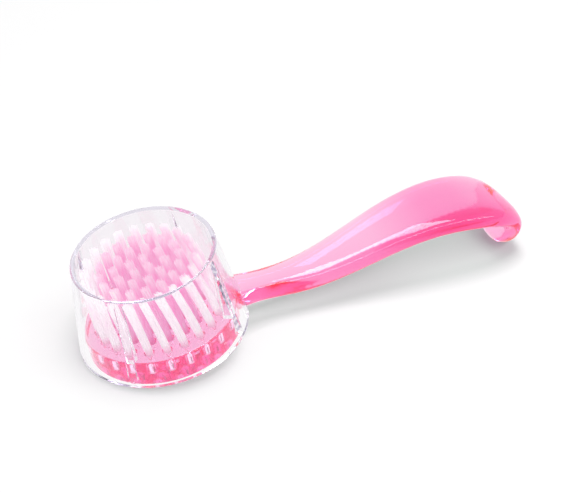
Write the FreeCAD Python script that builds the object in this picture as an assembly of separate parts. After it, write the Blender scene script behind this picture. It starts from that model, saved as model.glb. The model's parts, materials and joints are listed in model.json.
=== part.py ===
"""Nail brush with a clear cap: a round tufted head on a hooked thumb grip. Millimetres.

Every piece is built in the head's own frame: origin at the centre of the head's underside, +Z along the
bristles, +X towards the grip. The finished pieces are then leaned together, so that the brush rests on its
head's far edge and on its hook, and set over the origin: bottom centre of the whole brush, +Z up.
"""
import FreeCAD, Part
import math
import os

Vector = FreeCAD.Vector
X_AXIS = Vector(1, 0, 0)
Y_AXIS = Vector(0, 1, 0)
Z_AXIS = Vector(0, 0, 1)

# Head
HEAD_RADIUS = 16.4
HEAD_THICKNESS = 6.0
HEAD_EDGE_ROUND = 0.5
HEAD_BORDER = 3.2           # outer ring of tufts to the head's edge

# Neck and grip: a centre line in the XZ plane with a rounded section swept along it
NECK_EMBED = 4.5            # length of the neck's root inside the head
NECK_LENGTH = 16.6          # head edge to the lowest point of the neck
NECK_DIP = 4.6              # drop of the centre line from mid-head to that point
NECK_MID_DROP = 3.0         # the same at half the neck's length
GRIP_LENGTH = 40.9          # lowest point of the neck to the hook's shoulder
GRIP_CREST = 22.8           # lowest point of the neck to the crest of the grip
GRIP_RISE = 1.15            # rise of the crest above the lowest point of the neck
SHOULDER_DROP = 2.4         # crest to the hook's shoulder
HOOK_REACH = 8.1            # shoulder to the front of the hook
HOOK_FRONT_DROP = 5.1       # shoulder down to the front of the hook
HOOK_TIP_DROP = 8.65        # front of the hook down to its tip
HOOK_RETURN = 1.8           # how far the tip turns back under the grip
NECK_WIDTH = 7.6
NECK_STRAIGHT = 10.0        # head edge to where the neck starts to widen
NECK_FLARE = 1.2            # extra on each side where the neck meets the head
NECK_FLARE_LENGTH = 7.0
GRIP_WIDTH = 21.8
NECK_SHOULDER = 0.6         # how far the neck's root keeps inside the head's two faces
GRIP_THICKNESS = 5.4
GRIP_END_ROUND = 27.0       # length over which the grip's outline rounds off to its tip
OUTLINE_POWER = 2.2         # superellipse power of that rounding
SECTION_POWER = 2.8         # superellipse power of the section
SECTION_POINTS = 24         # points on one section
BODY_SECTIONS = 10          # sections from the root to the rounded end
END_SECTIONS = 12           # sections over the rounded end

# Tufts, their holes and their anchors
RING_TUFTS = (22, 16, 10, 4)    # from the outer ring to the centre
CENTRE_RING_RADIUS = 2.4
HOLE_DIAMETER = 2.0
HOLE_DEPTH = 4.3
HOLE_BOTTOM_ROUND = 0.6
HOLE_MOUTH_CHAMFER = 0.2
TUFT_CLEARANCE = 0.05       # tuft to hole
TUFT_LENGTH = 13.6          # free length above the head
TUFT_TIP_BEVEL = 0.5
TUFT_SPACE = 0.31           # least gap between the tips of neighbouring tufts
TUFT_LEAN = 4.0             # degrees, away from the grip
TUFT_DRAW_IN = 1.05         # how far the tips of the outer ring stand in from their feet
ANCHOR_BITE = 0.25          # how far each end of an anchor goes into the hole's wall
ANCHOR_THICKNESS = 0.3
ANCHOR_HEIGHT = 1.5
FOLD_DEPTH = 0.7            # bristle folded under the anchor

# Cap
CAP_WALL = 1.0
CAP_TOP_THICKNESS = 1.0
CAP_TOP_ROUND = 0.5
CAP_LIFT = 0.8              # height of the cap's rim above the head's underside
CAP_SKIRT_GAP = 1.1         # head to the inside of the cap's mouth
CAP_TIP_SIDE_GAP = 0.4      # leaning tuft tips to the cap's wall
CAP_TIP_TOP_GAP = 1.45      # tuft tips to the cap's ceiling
CAP_SEAT_GAP = 0.1          # rib ledge to the head's top
RIB_WIDTH = 2.0
RIB_EDGE_ROUND = 0.25
RIB_TUFT_GAP = 0.25         # rib to the reach of the tuft tips
RIB_HEAD_GAP = 0.2          # lower rib to the head's side
RIB_END_HEIGHT = 0.4        # from the cap's rim up to the lower end of a rib
RIB_AZIMUTH = 45.0          # degrees from the grip, to both sides, before and behind
NOTCH_CLEARANCE = 0.5       # notch in the cap to neck
NOTCH_CORNER = 1.2

REST_TOLERANCE = 0.04       # of the surface points that settle how the brush lies

# Worked out from the sizes above
HEAD_MIDDLE = HEAD_THICKNESS / 2
NECK_THICKNESS = HEAD_THICKNESS - 2 * NECK_SHOULDER
HOLE_RADIUS = HOLE_DIAMETER / 2
ANCHOR_LENGTH = HOLE_DIAMETER + 2 * ANCHOR_BITE
ANCHOR_DEPTH = HOLE_DEPTH - TUFT_CLEARANCE - FOLD_DEPTH
OUTER_RING_RADIUS = HEAD_RADIUS - HEAD_BORDER
RING_PITCH = (OUTER_RING_RADIUS - CENTRE_RING_RADIUS) / (len(RING_TUFTS) - 1)
RING_RADII = [OUTER_RING_RADIUS - RING_PITCH * ring for ring in range(len(RING_TUFTS))]
TUFT_PITCH = min([2 * radius * math.sin(math.pi / count) for radius, count in zip(RING_RADII, RING_TUFTS)])
TIP_SHARE = 1 - TUFT_DRAW_IN / OUTER_RING_RADIUS    # radius of a ring at its tips over that at its feet
TUFT_TIP_DIAMETER = TIP_SHARE * min(RING_PITCH, TUFT_PITCH) - TUFT_SPACE
TUFT_SHIFT = TUFT_LENGTH * math.tan(math.radians(TUFT_LEAN))
TIP_REACH = OUTER_RING_RADIUS - TUFT_DRAW_IN + TUFT_SHIFT + TUFT_TIP_DIAMETER / 2
TIP_HEIGHT = HEAD_THICKNESS + TUFT_LENGTH
CAP_MOUTH_RADIUS = HEAD_RADIUS + CAP_SKIRT_GAP + CAP_WALL
CAP_TAPER = (HEAD_RADIUS + CAP_SKIRT_GAP - TIP_REACH - CAP_TIP_SIDE_GAP) / (TIP_HEIGHT - CAP_LIFT)
CAP_CEILING = TIP_HEIGHT + CAP_TIP_TOP_GAP
CAP_TOP = CAP_CEILING + CAP_TOP_THICKNESS
RIB_INNER_RADIUS = TIP_REACH + RIB_TUFT_GAP


def edges_at(shape, height, radius):
    """Circular edges about Z with the given height and radius."""
    found = []
    for edge in shape.Edges:
        curve = edge.Curve
        if not isinstance(curve, Part.Circle):
            continue
        on_axis = math.hypot(curve.Center.x, curve.Center.y) < 1e-6
        if on_axis and abs(curve.Center.z - height) < 1e-6 and abs(curve.Radius - radius) < 1e-6:
            found.append(edge)
    return found


def tuft_feet():
    """Ring by ring, where the tufts stand on the head's top face."""
    for radius, count in zip(RING_RADII, RING_TUFTS):
        angles = [2 * math.pi * (number + 0.5) / count for number in range(count)]
        yield [Vector(radius * math.cos(angle), radius * math.sin(angle), HEAD_THICKNESS) for angle in angles]


def head_disc():
    disc = Part.makeCylinder(HEAD_RADIUS, HEAD_THICKNESS)
    rims = edges_at(disc, 0, HEAD_RADIUS) + edges_at(disc, HEAD_THICKNESS, HEAD_RADIUS)
    return disc.makeFillet(HEAD_EDGE_ROUND, rims)


def grip_path():
    """Centre line of neck and grip, from inside the head to the hook's tip."""
    neck_low = HEAD_RADIUS + NECK_LENGTH
    dip = HEAD_MIDDLE - NECK_DIP
    shoulder = neck_low + GRIP_LENGTH
    shoulder_height = dip + GRIP_RISE - SHOULDER_DROP
    points = [
        Vector(HEAD_RADIUS - NECK_EMBED, 0, HEAD_MIDDLE),
        Vector(HEAD_RADIUS + NECK_LENGTH / 2, 0, HEAD_MIDDLE - NECK_MID_DROP),
        Vector(neck_low, 0, dip),
        Vector(neck_low + GRIP_CREST, 0, dip + GRIP_RISE),
        Vector(shoulder, 0, shoulder_height),
        Vector(shoulder + HOOK_REACH, 0, shoulder_height - HOOK_FRONT_DROP),
        Vector(shoulder + HOOK_REACH - HOOK_RETURN, 0, shoulder_height - HOOK_FRONT_DROP - HOOK_TIP_DROP),
    ]
    path = Part.BSplineCurve()
    path.interpolate(points)
    return path


def rounding(distance, length, power):
    """Share of the full size at a distance from a superelliptic end of the given length."""
    if distance >= length:
        return 1.0
    return (1 - (1 - distance / length) ** power) ** (1 / power)


def grip_section(centre, along, width, thickness):
    """Closed superelliptic wire square to the centre line."""
    across = Y_AXIS
    normal = along.cross(across)
    points = []
    for index in range(SECTION_POINTS):
        angle = 2 * math.pi * index / SECTION_POINTS
        side = math.copysign(abs(math.cos(angle)) ** (2 / SECTION_POWER), math.cos(angle))
        rise = math.copysign(abs(math.sin(angle)) ** (2 / SECTION_POWER), math.sin(angle))
        points.append(centre + across * (side * width / 2) + normal * (rise * thickness / 2))
    outline = Part.BSplineCurve()
    outline.interpolate(Points=points, PeriodicFlag=True)
    return Part.Wire(outline.toShape())


def grip_width(position, length):
    """Full width at a distance along the centre line: flared neck, even taper, rounded end."""
    past_head = max(0.0, position - NECK_EMBED)
    taper_end = length - GRIP_END_ROUND / 2
    share = (past_head - NECK_STRAIGHT) / (taper_end - NECK_EMBED - NECK_STRAIGHT)
    full = NECK_WIDTH + (GRIP_WIDTH - NECK_WIDTH) * min(1.0, max(0.0, share))
    flare = NECK_FLARE * max(0.0, 1 - past_head / NECK_FLARE_LENGTH) ** 2
    return (full + 2 * flare) * rounding(length - position, GRIP_END_ROUND, OUTLINE_POWER)


def grip_thickness(position, length):
    share = min(1.0, position / (NECK_EMBED + NECK_LENGTH))
    full = NECK_THICKNESS + (GRIP_THICKNESS - NECK_THICKNESS) * share
    return full * rounding(length - position, GRIP_THICKNESS / 2, 2)


def neck_and_grip():
    path = grip_path()
    length = path.length()
    body = length - GRIP_END_ROUND
    positions = [body * step / BODY_SECTIONS for step in range(BODY_SECTIONS)]
    for step in range(END_SECTIONS):
        positions.append(body + GRIP_END_ROUND * math.sin(math.pi / 2 * step / END_SECTIONS))
    sections = []
    for position in positions:
        parameter = path.parameterAtDistance(position, path.FirstParameter)
        along = Vector(*path.tangent(parameter)[0])
        width = grip_width(position, length)
        sections.append(grip_section(path.value(parameter), along, width, grip_thickness(position, length)))
    return Part.makeLoft(sections, True, False)


def plug(radius, depth):
    """Cylinder down from the origin with a rounded lower edge."""
    rod = Part.makeCylinder(radius, depth, Vector(0, 0, -depth))
    return rod.makeFillet(HOLE_BOTTOM_ROUND, edges_at(rod, -depth, radius))


def anchor():
    """Flat wire across a hole whose mouth is at the origin, long enough to bite into the hole's wall."""
    corner = Vector(-ANCHOR_THICKNESS / 2, -ANCHOR_LENGTH / 2, -ANCHOR_DEPTH)
    return Part.makeBox(ANCHOR_THICKNESS, ANCHOR_LENGTH, ANCHOR_HEIGHT, corner)


def tuft_hole():
    """Blind hole with a rounded floor and a chamfered mouth, and the grooves that its anchor bites."""
    mouth = HOLE_RADIUS + HOLE_MOUTH_CHAMFER
    chamfer = Part.makeCone(HOLE_RADIUS, mouth, HOLE_MOUTH_CHAMFER, Vector(0, 0, -HOLE_MOUTH_CHAMFER))
    return plug(HOLE_RADIUS, HOLE_DEPTH).fuse([chamfer, anchor()])


def tuft(foot):
    """Bristle bundle: straight in its hole, folded round its anchor, fanning and leaning above the head."""
    root_radius = HOLE_RADIUS - TUFT_CLEARANCE
    tip_radius = TUFT_TIP_DIAMETER / 2
    draw_in = 1 - TIP_SHARE
    lean = Vector(-foot.x * draw_in - TUFT_SHIFT, -foot.y * draw_in, TUFT_LENGTH)
    levels = (
        (0, root_radius),
        (1 - TUFT_TIP_BEVEL / TUFT_LENGTH, tip_radius),
        (1, tip_radius - TUFT_TIP_BEVEL),
    )
    rings = [Part.Wire(Part.makeCircle(radius, foot + lean * share)) for share, radius in levels]
    root = plug(root_radius, HOLE_DEPTH - TUFT_CLEARANCE).translated(foot)
    return root.fuse(Part.makeLoft(rings, True, True)).cut(anchor().translated(foot))


def handle():
    """One moulding: head, neck and grip, with the tuft holes and the anchors' grooves."""
    moulding = head_disc().fuse(neck_and_grip())
    hole = tuft_hole()
    return moulding.cut([hole.translated(foot) for ring in tuft_feet() for foot in ring])


def cap_radius(height, inset):
    """Radius of the cap's outer cone at a height, less an inset into the wall."""
    return CAP_MOUTH_RADIUS - CAP_TAPER * (height - CAP_LIFT) - inset


def cap_cone(top, inset):
    """Solid cone from the cap's rim up to a height, its side inset from the cap's outside."""
    return Part.makeCone(
        cap_radius(CAP_LIFT, inset), cap_radius(top, inset), top - CAP_LIFT, Vector(0, 0, CAP_LIFT))


def cap_shell():
    outer = cap_cone(CAP_TOP, 0)
    outer = outer.makeFillet(CAP_TOP_ROUND, edges_at(outer, CAP_TOP, cap_radius(CAP_TOP, 0)))
    return outer.cut(cap_cone(CAP_CEILING, CAP_WALL))


def is_upright_at(edge, places):
    """True for an edge along Z whose X is one of the given places."""
    box = edge.BoundBox
    return box.ZLength > 1e-6 and box.XLength < 1e-6 and min(abs(box.XMin - x) for x in places) < 1e-6


def cap_rib():
    """Stepped rib on the +X side: a deep web that seats on the head, and a shallow one beside it."""
    ledge = HEAD_THICKNESS + CAP_SEAT_GAP
    beside = HEAD_RADIUS + RIB_HEAD_GAP
    end = CAP_LIFT + RIB_END_HEIGHT + RIB_WIDTH / 2
    top = CAP_CEILING + CAP_TOP_THICKNESS / 2
    outline = [
        (RIB_INNER_RADIUS, top),
        (cap_radius(top, CAP_WALL / 2), top),
        (cap_radius(end, CAP_WALL / 2), end),
        (beside, end),
        (beside, ledge),
        (RIB_INNER_RADIUS, ledge),
    ]
    corners = [Vector(radius, -RIB_WIDTH / 2, height) for radius, height in outline]
    web = Part.Face(Part.makePolygon(corners + corners[:1])).extrude(Y_AXIS * RIB_WIDTH)
    fronts = [edge for edge in web.Edges if is_upright_at(edge, (RIB_INNER_RADIUS, beside))]
    web = web.makeFillet(RIB_EDGE_ROUND, fronts)
    reach = cap_radius(end, CAP_WALL / 2) - beside
    rounded_end = Part.makeCylinder(RIB_WIDTH / 2, reach, Vector(beside, 0, end), X_AXIS)
    return web.fuse(rounded_end)


def cap_notch(neck):
    """Slot in the wall for the neck, open at the rim, with rounded upper corners."""
    inner = cap_radius(CAP_TOP, CAP_WALL)
    wall_zone = Part.makeBox(
        CAP_MOUTH_RADIUS - HEAD_RADIUS, 2 * CAP_MOUTH_RADIUS, CAP_TOP, Vector(HEAD_RADIUS, -CAP_MOUTH_RADIUS, 0))
    in_wall = neck.common(wall_zone).optimalBoundingBox()
    half = in_wall.YMax + NOTCH_CLEARANCE
    top = in_wall.ZMax + NOTCH_CLEARANCE
    slot = Part.makeBox(CAP_MOUTH_RADIUS, 2 * half, top, Vector(inner, -half, 0))
    upper = []
    for edge in slot.Edges:
        middle = edge.CenterOfMass
        if abs(middle.z - top) < 1e-6 and abs(abs(middle.y) - half) < 1e-6:
            upper.append(edge)
    return slot.makeFillet(NOTCH_CORNER, upper)


def cap():
    shell = cap_shell()
    for azimuth in (RIB_AZIMUTH, 180 - RIB_AZIMUTH, 180 + RIB_AZIMUTH, -RIB_AZIMUTH):
        shell = shell.fuse(cap_rib().rotated(Vector(), Z_AXIS, azimuth))
    return shell.cut(cap_notch(neck_and_grip()))


def resting_lean():
    """Angle in degrees of the line that touches the head's far edge and the hook from below."""
    surface = head_disc().tessellate(REST_TOLERANCE)[0] + neck_and_grip().tessellate(REST_TOLERANCE)[0]
    points = sorted((point.x, point.z) for point in surface)
    hull = []
    for point in points:
        while len(hull) > 1:
            (ax, az), (bx, bz) = hull[-2:]
            if (bx - ax) * (point[1] - az) - (bz - az) * (point[0] - ax) > 0:
                break
            hull.pop()
        hull.append(point)
    for (ax, az), (bx, bz) in zip(hull, hull[1:]):
        if ax < 0 < bx:
            return math.degrees(math.atan2(az - bz, bx - ax))


def main():
    pieces = {"handle": handle(), "cap": cap()}
    wire = anchor()
    for ring, feet in enumerate(tuft_feet(), 1):
        for number, foot in enumerate(feet, 1):
            pieces["tuft_ring%d_%02d" % (ring, number)] = tuft(foot)
        pieces["anchors_ring%d" % ring] = Part.makeCompound([wire.translated(foot) for foot in feet])

    lean = resting_lean()
    for shape in pieces.values():
        shape.rotate(Vector(), Y_AXIS, -lean)
    box = Part.makeCompound([pieces["handle"], pieces["cap"]]).optimalBoundingBox(False, False)
    shift = Vector(-box.Center.x, -box.Center.y, -box.ZMin)
    os.makedirs("parts", exist_ok=True)
    for name, shape in pieces.items():
        shape.translate(shift)
        shape.exportStep("parts/%s.step" % name)
    print("lean %.4f degrees, head underside centre %.4f, %.4f, %.4f" % (lean, *shift))
    print("overall %.2f x %.2f x %.2f" % (box.XLength, box.YLength, box.ZLength))


main()
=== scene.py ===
"""Looks of a capped nail brush: clear pink handle, clear cap and nylon bristles, on a pale studio floor."""

import json
import math
import random

import bpy
from mathutils import Matrix, Vector


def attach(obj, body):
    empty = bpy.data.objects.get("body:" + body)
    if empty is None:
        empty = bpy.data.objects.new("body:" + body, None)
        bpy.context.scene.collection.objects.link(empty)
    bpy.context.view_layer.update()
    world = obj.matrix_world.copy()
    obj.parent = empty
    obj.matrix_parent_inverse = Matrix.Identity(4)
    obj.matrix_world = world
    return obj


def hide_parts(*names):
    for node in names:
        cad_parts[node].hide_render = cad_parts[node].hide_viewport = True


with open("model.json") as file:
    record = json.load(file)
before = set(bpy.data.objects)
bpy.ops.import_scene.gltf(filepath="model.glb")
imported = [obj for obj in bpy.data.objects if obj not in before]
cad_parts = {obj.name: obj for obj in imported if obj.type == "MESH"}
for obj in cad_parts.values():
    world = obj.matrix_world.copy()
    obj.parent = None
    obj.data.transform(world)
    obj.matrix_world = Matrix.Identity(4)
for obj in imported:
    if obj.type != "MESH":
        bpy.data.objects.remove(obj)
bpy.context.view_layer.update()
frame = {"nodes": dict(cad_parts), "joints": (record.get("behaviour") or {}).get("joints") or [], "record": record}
MM = 0.001

# Camera, in metres and degrees in the part's frame
CAMERA_PLACE = (-0.17357, -0.35208, 0.28534)
CAMERA_AIM = (0.00186, 0.01081, 0.00671)
CAMERA_ROLL = -1.4
CAMERA_NEAR = 0.01
CAMERA_LENS = 137.0             # in millimetres
CAMERA_SENSOR = 36.0            # in millimetres

# Head's own frame: centre of its underside, along the bristles, towards the grip, and to the side
HEAD_FOOT = Vector(frame["record"]["mounts"][0]["pos_m"])
HEAD_UP = Vector(frame["joints"][0]["axis"]).normalized()
HEAD_OUT = Vector((HEAD_UP.z, 0, -HEAD_UP.x))
HEAD_SIDE = HEAD_UP.cross(HEAD_OUT)

# Bristles and anchors, in millimetres in the head's frame
HEAD_TOP = 6.0
RINGS = (1, 2, 3, 4)
END_SLACK = 0.01                # within which a corner counts as on a tuft's end
FILAMENT_RADIUS = 0.1
FILAMENT_SIDES = 5
FILAMENT_PITCH = 0.235          # between neighbouring filaments in a hole
FILAMENT_STRAY = 0.03           # of a filament's place in its hole
ROW_PITCH = 0.87                # of the pitch, between rows of filaments
TRIMMED_END = 0.75              # of the filament's radius, at its tips
ROOT_RADIUS = 0.93              # of the bundle in its hole
TIP_RADIUS = 1.08               # of the bundle at its tips
ANCHOR_FOOT = 3.55              # depth of the anchor's lower edge below the head's top
ANCHOR_ROOM = 0.27              # half the gap that the anchor keeps between the two legs of a filament
ANCHOR_SIZE = (2.5, 1.5, 0.3)   # length across the hole, height and thickness
ANCHOR_PLAY = 0.02              # to each face of its groove
ANCHOR_BEVEL = 0.6              # of half its thickness
LEG_SQUEEZE = 0.9               # of a leg's place along the anchor
LEG_TOP = 2.0                   # depth at which a leg leaves the anchor
MOUTH_DEPTH = 0.3               # depth at which a leg has reached its place in the hole
LEG_STEPS = (0.0, 0.2, 0.4, 0.6, 0.8, 1.0)
FOLD_DEPTH = 0.62               # deepest fold below the anchor's lower edge
FOLD_INNER = 0.45               # of that depth, for a filament at the middle of the hole
FOLD_OUTER = 0.55               # added to it towards the hole's wall
FOLD_STEPS = (0.25, 0.5, 0.75)
TIP_UNEVEN = 0.25               # spread of the trimmed lengths
TIP_STRAY = 0.1                 # spread of the tips' places
LEAN_POWER = 1.15               # above 1 bends a bundle rather than tilting it
STRAY_POWER = 2
FRONT_BEND = 1.3                # extra lean of the tips on the -Y side
FRONT_WIDTH = 24.8              # of the block of tufts, over which that lean fades
TIP_LIMIT = 14.8                # reach of the tips inside the cap
LEAN_STEP = 0.02

# Materials: colours are linear, lengths in metres, noise scales per metre
NOISE_SPAN = (0.3, 0.7)         # values between which most of a noise lies
PLASTIC_IOR = 1.49
EDGE_SPAN = (0.03, 0.2)         # 1 less the cosine to the lamp, where the shadow of a clear face darkens
TINT_SPAN = (0.016, 0.052)      # along X, where the pink of the grip deepens
TINT_STOPS = (0.4, 0.62)        # of that span, between which it is deepest
MARK_SCALE, MARK_DETAIL, MARK_STRETCH = 900, 4.0, (0.25, 1, 1)
FLOW_SCALE, FLOW_DETAIL, FLOW_HEIGHT = 130, 1.0, 0.0004
PINK_PLASTIC = {
    "tint": (1.0, 0.05, 0.58), "density": 95, "rough": (0.05, 0.09), "wave": 0.04,
    "shadow": (0.7, 0.93, 0.79), "diffuse": (0.82, 0.975, 0.9), "edge": (0.4, 0.53, 0.45),
    "face_tint": (1.0, 0.87, 0.95), "grip_tint": (1.0, 0.5, 0.74)}
CLEAR_PLASTIC = {
    "tint": (0.72, 0.68, 0.8), "density": 32, "rough": (0.01, 0.03), "wave": 0.06,
    "shadow": (0.985, 0.985, 0.985), "diffuse": (0.97, 0.97, 0.97), "face_tint": (0.965, 0.95, 0.965)}

WHITE = (1.0, 1.0, 1.0)
NYLON_IOR = 1.53
# Painted light on the bristles: pink light from the head and shade inside the block of tufts, paler where lit
# outside it and at the tips
NYLON_PAINTED_PINK_SHADE = (0.95, 0.27, 0.59)
NYLON_OUTSIDE = (1.0, 0.95, 0.98)
NYLON_PAINTED_ROOT_GLOW = (1.0, 0.5, 0.7)    # painted pink glow of the head's light, where it leaves the head
NYLON_PASSING = (0.985, 0.977, 0.982)
NYLON_ROUGH = (0.25, 0.4)
NYLON_TRANSLUCENT = 0.5
STREAK_SCALE, STREAK_DETAIL, STREAK_STRETCH = 1500, 2.0, (1, 1, 0.12)
PAINTED_SHADE_SPAN = (0.0100, 0.0128)   # from the head's axis, where the painted pink light and shade inside the block of tufts gives way to white
PAINTED_SHADE_SHARE = 0.8
STREAK_SHARE = 0.2
PAINTED_TIP_LIGHT_SPAN = (0.0160, 0.0196)     # above the head's underside, where painted light pales them towards their tips
PAINTED_TIP_LIGHT_SHARE = 0.4
PAINTED_ROOT_GLOW_SPAN = (0, 0.02)           # above the head's underside, over which the stops of the painted root glow are set
PAINTED_ROOT_GLOW_STOPS = (0.25, 0.28, 0.4)
PAINTED_GLOW_SPAN = (0.0046, 0.0054)    # above the head's underside, where the painted glow falls from the holes to the open bristles
PAINTED_GLOW_IN_HOLE = 0.8
PAINTED_GLOW_ABOVE = 0.33

WIRE_METAL = 0.8
WIRE_DARK = (0.62, 0.56, 0.58)
WIRE_PALE = (0.88, 0.83, 0.85)
WIRE_ROUGH = (0.3, 0.5)
WIRE_SCALE, WIRE_DETAIL, WIRE_STRETCH = 4000, 2.0, (1, 0.06, 1)

# Studio, in metres and watts
FLOOR_REACH = 3
FLOOR_COLOUR = 0.8
WORLD_LIGHT = 0.45
LAMPS = (
    {"name": "overhead", "place": (0.1, 0.05, 0.93), "aim": (0, 0, 0), "size": (0.5, 0.4), "watts": 6.0},
    {"name": "side", "place": (0.3, -0.54, 0.68), "aim": (0.02, 0, 0), "size": (1.0, 0.13), "watts": 3.0})
CLEAR_BOUNCES = 64              # enough for light that is caught in the plastic
MATT_BOUNCES = 16
PASSING_BOUNCES = 32            # faces that light passes straight through


def new_material(name):
    """Empty node material with its nodes, links and output."""
    material = bpy.data.materials.new(name)
    material.use_nodes = True
    nodes = material.node_tree.nodes
    nodes.clear()
    output = nodes.new("ShaderNodeOutputMaterial")
    return material, nodes, material.node_tree.links, output


def noise(nodes, links, scale, detail, stretch=(1, 1, 1)):
    """Noise in the part's own coordinates."""
    coordinates = nodes.new("ShaderNodeTexCoord")
    mapping = nodes.new("ShaderNodeMapping")
    mapping.inputs["Scale"].default_value = stretch
    texture = nodes.new("ShaderNodeTexNoise")
    texture.inputs["Scale"].default_value = scale
    texture.inputs["Detail"].default_value = detail
    links.new(coordinates.outputs["Object"], mapping.inputs["Vector"])
    links.new(mapping.outputs["Vector"], texture.inputs["Vector"])
    return texture.outputs["Fac"]


def spread(nodes, links, value, low, high, start=NOISE_SPAN[0], end=NOISE_SPAN[1]):
    """Maps a value between start and end to a range."""
    ranged = nodes.new("ShaderNodeMapRange")
    ranged.inputs["From Min"].default_value = start
    ranged.inputs["From Max"].default_value = end
    ranged.inputs["To Min"].default_value = low
    ranged.inputs["To Max"].default_value = high
    links.new(value, ranged.inputs["Value"])
    return ranged.outputs["Result"]


def combine(nodes, links, operation, first, second):
    """Sum or maximum of two values."""
    node = nodes.new("ShaderNodeMath")
    node.operation = operation
    links.new(first, node.inputs[0])
    links.new(second, node.inputs[1])
    return node.outputs["Value"]


def ramp(nodes, links, value, *stops):
    """Colour that follows a value through stops of position and colour, in rising order."""
    node = nodes.new("ShaderNodeValToRGB")
    elements = node.color_ramp.elements
    while len(elements) < len(stops):
        elements.new(1.0)
    for element, (position, colour) in zip(elements, stops):
        element.position = position
        element.color = (*colour, 1)
    links.new(value, node.inputs["Fac"])
    return node.outputs["Color"]


def let_light_through(nodes, links, shader, shadow, diffuse, edge=None):
    """Lamps and light from matt surfaces pass straight through a piece, dimmed by a colour at each face.
    Faces that turn away from a lamp send its light aside, so there the shadow takes the edge's colour."""
    path = nodes.new("ShaderNodeLightPath")
    for ray, colour in (("Is Shadow Ray", shadow), ("Is Diffuse Ray", diffuse)):
        passing = nodes.new("ShaderNodeBsdfTransparent")
        passing.inputs["Color"].default_value = (*colour, 1)
        if edge and ray == "Is Shadow Ray":
            turned = nodes.new("ShaderNodeLayerWeight").outputs["Facing"]
            shade = ramp(nodes, links, turned, (EDGE_SPAN[0], colour), (EDGE_SPAN[1], edge))
            links.new(shade, passing.inputs["Color"])
        mix = nodes.new("ShaderNodeMixShader")
        links.new(path.outputs[ray], mix.inputs["Fac"])
        links.new(shader, mix.inputs[1])
        links.new(passing.outputs["BSDF"], mix.inputs[2])
        shader = mix.outputs["Shader"]
    return shader


def clear_plastic(name, tint, density, rough, wave, shadow, diffuse, face_tint, grip_tint=None, edge=None):
    """Polished clear moulding: absorbs along the light's way, with slight flow waves and handling marks."""
    material, nodes, links, output = new_material(name)
    shader = nodes.new("ShaderNodeBsdfPrincipled")
    shader.inputs["Base Color"].default_value = (*face_tint, 1)
    shader.inputs["Transmission Weight"].default_value = 1.0
    shader.inputs["IOR"].default_value = PLASTIC_IOR
    if grip_tint:
        coordinates = nodes.new("ShaderNodeTexCoord")
        place = nodes.new("ShaderNodeSeparateXYZ")
        links.new(coordinates.outputs["Object"], place.inputs["Vector"])
        along = spread(nodes, links, place.outputs["X"], 0, 1, *TINT_SPAN)
        deepest = [(stop, grip_tint) for stop in TINT_STOPS]
        colour = ramp(nodes, links, along, (0, face_tint), *deepest, (1, face_tint))
        links.new(colour, shader.inputs["Base Color"])
    marks = noise(nodes, links, MARK_SCALE, MARK_DETAIL, MARK_STRETCH)
    links.new(spread(nodes, links, marks, *rough), shader.inputs["Roughness"])
    bump = nodes.new("ShaderNodeBump")
    bump.inputs["Strength"].default_value = wave
    bump.inputs["Distance"].default_value = FLOW_HEIGHT
    links.new(noise(nodes, links, FLOW_SCALE, FLOW_DETAIL), bump.inputs["Height"])
    links.new(bump.outputs["Normal"], shader.inputs["Normal"])
    absorption = nodes.new("ShaderNodeVolumeAbsorption")
    absorption.inputs["Color"].default_value = (*tint, 1)
    absorption.inputs["Density"].default_value = density
    lit = let_light_through(nodes, links, shader.outputs["BSDF"], shadow, diffuse, edge)
    links.new(lit, output.inputs["Surface"])
    links.new(absorption.outputs["Volume"], output.inputs["Volume"])
    return material


def head_distances(nodes, links):
    """Distance from the head's axis and height above its underside, in metres."""
    coordinates = nodes.new("ShaderNodeTexCoord")
    from_foot = nodes.new("ShaderNodeVectorMath")
    from_foot.operation = "SUBTRACT"
    from_foot.inputs[1].default_value = HEAD_FOOT
    along = nodes.new("ShaderNodeVectorMath")
    along.operation = "PROJECT"
    along.inputs[1].default_value = HEAD_UP
    across = nodes.new("ShaderNodeVectorMath")
    across.operation = "DISTANCE"
    links.new(coordinates.outputs["Object"], from_foot.inputs[0])
    links.new(from_foot.outputs["Vector"], along.inputs[0])
    links.new(from_foot.outputs["Vector"], across.inputs[0])
    links.new(along.outputs["Vector"], across.inputs[1])
    height = nodes.new("ShaderNodeVectorMath")
    height.operation = "LENGTH"
    links.new(along.outputs["Vector"], height.inputs[0])
    return across.outputs["Value"], height.outputs["Value"]


def nylon_painted_light(nodes, links, streaks, height, from_axis):
    """Painted pink light and shade inside the block of tufts, painted light paling it outside and at the tips, and
    a painted pink glow, reddest where it leaves the head; the streaks are the nylon's own tone.
    """
    # Painted pink light and shade inside the block, painted light paling the outer tufts and the tips
    outward = spread(nodes, links, from_axis, 0, PAINTED_SHADE_SHARE, *PAINTED_SHADE_SPAN)
    streaked = spread(nodes, links, streaks, 0, STREAK_SHARE)
    tipward = spread(nodes, links, height, 0, PAINTED_TIP_LIGHT_SHARE, *PAINTED_TIP_LIGHT_SPAN)
    paleness = combine(nodes, links, "ADD", combine(nodes, links, "ADD", outward, streaked), tipward)
    block = ramp(nodes, links, paleness, (0, NYLON_PAINTED_PINK_SHADE), (1, NYLON_OUTSIDE))
    # Painted pink glow where the bristles leave the head
    root_height = spread(nodes, links, height, 0, 1, *PAINTED_ROOT_GLOW_SPAN)
    root = ramp(nodes, links, root_height, *zip(PAINTED_ROOT_GLOW_STOPS, (WHITE, NYLON_PAINTED_ROOT_GLOW, WHITE)))
    blend = nodes.new("ShaderNodeMix")
    blend.data_type = "RGBA"
    blend.blend_type = "MULTIPLY"
    blend.inputs["Factor"].default_value = 1.0
    links.new(block, blend.inputs["A"])
    links.new(root, blend.inputs["B"])
    return blend.outputs["Result"]


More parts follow.
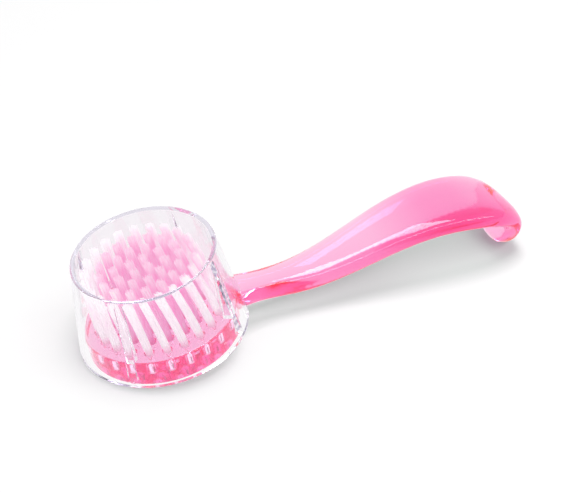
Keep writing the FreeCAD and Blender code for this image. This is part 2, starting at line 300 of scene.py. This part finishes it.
def nylon(name):
    """Drawn translucent filament with faint streaks, carrying a painted glow that stands in for light reaching the
    bristles and makes the folds in the holes bright.
    """
    material, nodes, links, output = new_material(name)
    streaks = noise(nodes, links, STREAK_SCALE, STREAK_DETAIL, STREAK_STRETCH)
    from_axis, height = head_distances(nodes, links)
    colour = nylon_painted_light(nodes, links, streaks, height, from_axis)
    shader = nodes.new("ShaderNodeBsdfPrincipled")
    shader.inputs["IOR"].default_value = NYLON_IOR
    links.new(colour, shader.inputs["Base Color"])
    links.new(spread(nodes, links, streaks, *NYLON_ROUGH), shader.inputs["Roughness"])
    through = nodes.new("ShaderNodeBsdfTranslucent")
    links.new(colour, through.inputs["Color"])
    mix = nodes.new("ShaderNodeMixShader")
    mix.inputs["Fac"].default_value = NYLON_TRANSLUCENT
    links.new(shader.outputs["BSDF"], mix.inputs[1])
    links.new(through.outputs["BSDF"], mix.inputs[2])
    # Painted glow: emission that stands in for light reaching the bristles, strongest in the holes
    painted_glow = nodes.new("ShaderNodeEmission")
    links.new(spread(nodes, links, height, PAINTED_GLOW_IN_HOLE, PAINTED_GLOW_ABOVE, *PAINTED_GLOW_SPAN), painted_glow.inputs["Strength"])
    links.new(colour, painted_glow.inputs["Color"])
    bright = nodes.new("ShaderNodeAddShader")
    links.new(mix.outputs["Shader"], bright.inputs[0])
    links.new(painted_glow.outputs["Emission"], bright.inputs[1])
    lit = let_light_through(nodes, links, bright.outputs["Shader"], NYLON_PASSING, NYLON_PASSING)
    links.new(lit, output.inputs["Surface"])
    return material


def wire(name):
    """Drawn flat wire, dulled."""
    material, nodes, links, output = new_material(name)
    shader = nodes.new("ShaderNodeBsdfPrincipled")
    shader.inputs["Metallic"].default_value = WIRE_METAL
    draw_lines = noise(nodes, links, WIRE_SCALE, WIRE_DETAIL, WIRE_STRETCH)
    colour = ramp(nodes, links, draw_lines, *zip(NOISE_SPAN, (WIRE_DARK, WIRE_PALE)))
    links.new(colour, shader.inputs["Base Color"])
    links.new(spread(nodes, links, draw_lines, *WIRE_ROUGH), shader.inputs["Roughness"])
    links.new(shader.outputs["BSDF"], output.inputs["Surface"])
    return material


def dress(node, material):
    """Gives a CAD node's surface its material."""
    surface = frame["nodes"][node].data
    surface.materials.clear()
    surface.materials.append(material)


def new_piece(name, corners, faces, material):
    """Mesh object in the scene."""
    mesh = bpy.data.meshes.new(name)
    mesh.from_pydata(corners, [], faces)
    mesh.materials.append(material)
    piece = bpy.data.objects.new(name, mesh)
    bpy.context.scene.collection.objects.link(piece)
    return piece


def head_place(point):
    """Millimetres in the head's frame to metres in the part's frame."""
    return HEAD_FOOT + (HEAD_OUT * point[0] + HEAD_SIDE * point[1] + HEAD_UP * point[2]) * MM


def tuft_ends(node):
    """Centres of a tuft on the head's top and at its tip, in the head's frame in millimetres."""
    points = [corner.co - HEAD_FOOT for corner in frame["nodes"][node].data.vertices]
    local = [Vector((p.dot(HEAD_OUT), p.dot(HEAD_SIDE), p.dot(HEAD_UP))) / MM for p in points]
    lowest = min(p.z for p in local)
    highest = max(p.z for p in local)
    ends = []
    for height in (lowest, highest):
        ring = [p for p in local if abs(p.z - height) < END_SLACK]
        ends.append(sum(ring, Vector()) / len(ring))
    return Vector((ends[0].x, ends[0].y, HEAD_TOP)), ends[1]


def hole_pattern(chance):
    """Half of the places of the filaments in a hole, on the side of the anchor towards the grip."""
    rows = int(ROOT_RADIUS / FILAMENT_PITCH) + 1
    places = []
    for row in range(-rows, rows + 1):
        for column in range(rows + 1):
            x = (column + 0.5 * (row % 2) + 0.25) * FILAMENT_PITCH
            x += chance.uniform(-FILAMENT_STRAY, FILAMENT_STRAY)
            y = row * FILAMENT_PITCH * ROW_PITCH + chance.uniform(-FILAMENT_STRAY, FILAMENT_STRAY)
            if math.hypot(x, y) < ROOT_RADIUS - FILAMENT_RADIUS:
                places.append((x, y))
    return places


def leg(foot, lean, side, place, chance):
    """One half of a filament, from above its fold beside the anchor up to its trimmed tip."""
    x, y = place
    beside = side * (ANCHOR_ROOM + abs(x) * (ROOT_RADIUS - FILAMENT_RADIUS - ANCHOR_ROOM) / ROOT_RADIUS)
    points = [Vector((beside, y * LEG_SQUEEZE, -depth)) for depth in (ANCHOR_FOOT, LEG_TOP)]
    points.append(Vector((side * x, y, -MOUTH_DEPTH)))
    length = lean.z + chance.uniform(-TIP_UNEVEN, 0)
    stray = Vector((chance.gauss(0, TIP_STRAY), chance.gauss(0, TIP_STRAY), 0))
    fan = TIP_RADIUS / ROOT_RADIUS - 1
    for step in LEG_STEPS:
        offset = Vector((side * x, y, 0)) * (1 + fan * step) + stray * step ** STRAY_POWER
        bend = step ** LEAN_POWER
        points.append(offset + Vector((lean.x * bend, lean.y * bend, length * step)))
    return [foot + point for point in points]


def tuft_lines(foot, tip, chance):
    """Lines of all filaments of a tuft: from one tip down, round the fold under the anchor, and up again."""
    lean = tip - foot
    lean.x -= FRONT_BEND * max(0.0, 0.5 - foot.y / FRONT_WIDTH)
    while math.hypot(foot.x + lean.x, foot.y + lean.y) + TIP_RADIUS > TIP_LIMIT and lean.x < 0:
        lean.x += LEAN_STEP
    lines = []
    for place in hole_pattern(chance):
        first = leg(foot, lean, 1, place, chance)
        second = leg(foot, lean, -1, place, chance)
        depth = FOLD_DEPTH * (FOLD_INNER + FOLD_OUTER * place[0] / ROOT_RADIUS)
        fold = []
        for step in FOLD_STEPS:
            across = first[0].lerp(second[0], (1 - math.cos(math.pi * step)) / 2)
            fold.append(across - Vector((0, 0, depth * math.sin(math.pi * step))))
        lines.append(list(reversed(first)) + fold + second)
    return lines


def filaments(name, lines, material):
    """Piece of thin tubes with trimmed, slightly rounded ends."""
    corners = []
    faces = []
    for line in lines:
        start = len(corners)
        count = len(line)
        for index, point in enumerate(line):
            along = line[min(index + 1, count - 1)] - line[max(index - 1, 0)]
            along.normalize()
            across = Vector((0, 1, 0)).cross(along).normalized()
            beside = along.cross(across)
            radius = FILAMENT_RADIUS * (TRIMMED_END if index in (0, count - 1) else 1.0)
            for side in range(FILAMENT_SIDES):
                turn = 2 * math.pi * side / FILAMENT_SIDES
                outward = across * math.cos(turn) + beside * math.sin(turn)
                corners.append(head_place(point + outward * radius))
        for index in range(count - 1):
            low = start + index * FILAMENT_SIDES
            high = low + FILAMENT_SIDES
            for side in range(FILAMENT_SIDES):
                after = (side + 1) % FILAMENT_SIDES
                faces.append((low + side, low + after, high + after, high + side))
        last = start + (count - 1) * FILAMENT_SIDES
        faces.append(tuple(reversed(range(start, start + FILAMENT_SIDES))))
        faces.append(tuple(range(last, last + FILAMENT_SIDES)))
    piece = new_piece(name, corners, faces, material)
    piece.data.polygons.foreach_set("use_smooth", [True] * len(piece.data.polygons))
    return piece


def add_bristles(material):
    """Real filaments in place of each tuft's plain solid."""
    for number, node in enumerate(sorted(n for n in frame["nodes"] if n.startswith("tuft_"))):
        foot, tip = tuft_ends(node)
        lines = tuft_lines(foot, tip, random.Random(number))
        piece = filaments(node.replace("tuft", "bristles"), lines, material)
        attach(piece, "brush")
        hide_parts(node)


def wire_outline():
    """Cross-section of an anchor with its bevelled edges, and half its length."""
    half_length, half_height, half_thick = (size / 2 - ANCHOR_PLAY for size in ANCHOR_SIZE)
    bevel = half_thick * ANCHOR_BEVEL
    outline = []
    for x, z in ((1, 1), (-1, 1), (-1, -1), (1, -1)):
        near = (x * half_thick, z * (half_height - bevel))
        far = (x * (half_thick - bevel), z * half_height)
        outline.extend((near, far) if x * z > 0 else (far, near))
    return outline, half_length


def add_anchors(material):
    """Flat wires with bevelled edges, a hair smaller than their grooves, in place of the anchors' solids."""
    outline, half_length = wire_outline()
    count = len(outline)
    for ring in RINGS:
        corners = []
        faces = []
        for node in sorted(n for n in frame["nodes"] if n.startswith("tuft_ring%d" % ring)):
            foot = tuft_ends(node)[0]
            middle = foot + Vector((0, 0, ANCHOR_SIZE[1] / 2 - ANCHOR_FOOT))
            start = len(corners)
            for end in (-half_length, half_length):
                corners.extend(head_place(middle + Vector((x, end, z))) for x, z in outline)
            for side in range(count):
                after = (side + 1) % count
                faces.append((start + side, start + after, start + count + after, start + count + side))
            faces.append(tuple(start + side for side in reversed(range(count))))
            faces.append(tuple(start + count + side for side in range(count)))
        piece = new_piece("wires_ring%d" % ring, corners, faces, material)
        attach(piece, "brush")
        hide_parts("anchors_ring%d" % ring)


def seen_through_plastic(nodes, links, path):
    """1 for rays that left a clear piece by reflection or refraction, else 0."""
    rays = path.outputs["Is Glossy Ray"], path.outputs["Is Transmission Ray"]
    return combine(nodes, links, "MAXIMUM", *rays)


def add_floor():
    """Pale floor that keeps the shadow and shows white in the plastic."""
    material, nodes, links, output = new_material("studio_floor")
    matt = nodes.new("ShaderNodeBsdfDiffuse")
    matt.inputs["Color"].default_value = (FLOOR_COLOUR, FLOOR_COLOUR, FLOOR_COLOUR, 1)
    white = nodes.new("ShaderNodeEmission")
    path = nodes.new("ShaderNodeLightPath")
    mix = nodes.new("ShaderNodeMixShader")
    links.new(seen_through_plastic(nodes, links, path), mix.inputs["Fac"])
    links.new(matt.outputs["BSDF"], mix.inputs[1])
    links.new(white.outputs["Emission"], mix.inputs[2])
    links.new(mix.outputs["Shader"], output.inputs["Surface"])
    corners = [(x * FLOOR_REACH, y * FLOOR_REACH, 0) for x, y in ((-1, -1), (1, -1), (1, 1), (-1, 1))]
    floor = new_piece("floor", corners, [(0, 1, 2, 3)], material)


def add_world():
    """White surroundings, dimmer as a light than as a background."""
    world = bpy.data.worlds.new("studio")
    bpy.context.scene.world = world
    world.use_nodes = True
    nodes = world.node_tree.nodes
    links = world.node_tree.links
    background = nodes["Background"]
    background.inputs["Color"].default_value = (*WHITE, 1)
    path = nodes.new("ShaderNodeLightPath")
    in_plastic = seen_through_plastic(nodes, links, path)
    seen = combine(nodes, links, "MAXIMUM", path.outputs["Is Camera Ray"], in_plastic)
    links.new(spread(nodes, links, seen, WORLD_LIGHT, 1.0, 0, 1), background.inputs["Strength"])


def add_lamp(name, place, aim, size, watts):
    """Rectangular soft light."""
    lamp = bpy.data.lights.new(name, "AREA")
    lamp.shape = "RECTANGLE"
    lamp.size, lamp.size_y = size
    lamp.energy = watts
    light = bpy.data.objects.new(name, lamp)
    light.location = place
    light.rotation_euler = (Vector(aim) - Vector(place)).to_track_quat("-Z", "Y").to_euler()
    bpy.context.scene.collection.objects.link(light)


def add_camera():
    """Camera over the -Y side, towards the head."""
    camera = bpy.data.objects.new("camera", bpy.data.cameras.new("camera"))
    camera.data.sensor_width = CAMERA_SENSOR
    camera.data.lens = CAMERA_LENS
    camera.data.clip_start = CAMERA_NEAR
    aim = Vector(CAMERA_AIM) - Vector(CAMERA_PLACE)
    turn = aim.to_track_quat("-Z", "Y").to_matrix() @ Matrix.Rotation(math.radians(CAMERA_ROLL), 3, "Z")
    camera.matrix_world = Matrix.Translation(CAMERA_PLACE) @ turn.to_4x4()
    bpy.context.scene.collection.objects.link(camera)
    bpy.context.scene.camera = camera


add_camera()
dress("handle", clear_plastic("pink_clear", **PINK_PLASTIC))
dress("cap", clear_plastic("clear", **CLEAR_PLASTIC))
add_anchors(wire("drawn_wire"))
add_bristles(nylon("nylon"))
add_floor()
add_world()
for settings in LAMPS:
    add_lamp(**settings)

scene = bpy.context.scene
scene.view_settings.view_transform = "Standard"
scene.cycles.max_bounces = CLEAR_BOUNCES
scene.cycles.transmission_bounces = CLEAR_BOUNCES
scene.cycles.glossy_bounces = CLEAR_BOUNCES
scene.cycles.diffuse_bounces = MATT_BOUNCES
scene.cycles.transparent_max_bounces = PASSING_BOUNCES
